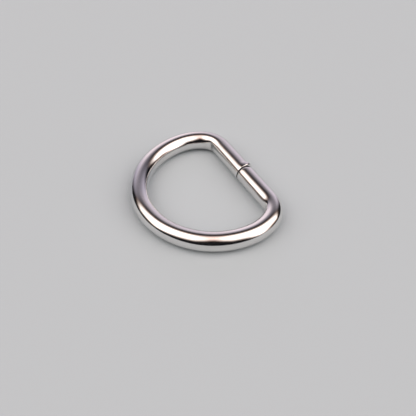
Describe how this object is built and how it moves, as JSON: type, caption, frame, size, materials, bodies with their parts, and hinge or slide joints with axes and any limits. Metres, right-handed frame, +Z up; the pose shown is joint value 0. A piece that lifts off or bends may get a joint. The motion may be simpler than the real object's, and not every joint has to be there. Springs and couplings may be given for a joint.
{
  "type": "d ring",
  "caption": "D-shaped ring bent from round plated steel wire: a straight bar for a webbing strap, its cut ends butted in the middle, and a round bow for a hook.",
  "frame": {"origin": "on the surface the ring lies on, under the middle of its outline in width and depth", "axes": "+X along the straight bar, +Y from the bow towards the bar, +Z up, square to the ring's plane"},
  "size_m": [0.033, 0.0256, 0.0038],
  "materials": {
    "plated_wire": "bright nickel plating over bent steel wire, polished, with faint draw lines and fine satin marks"
  },
  "bodies": {
    "root": {"d_ring": "plated_wire"}
  },
  "joints": []
}
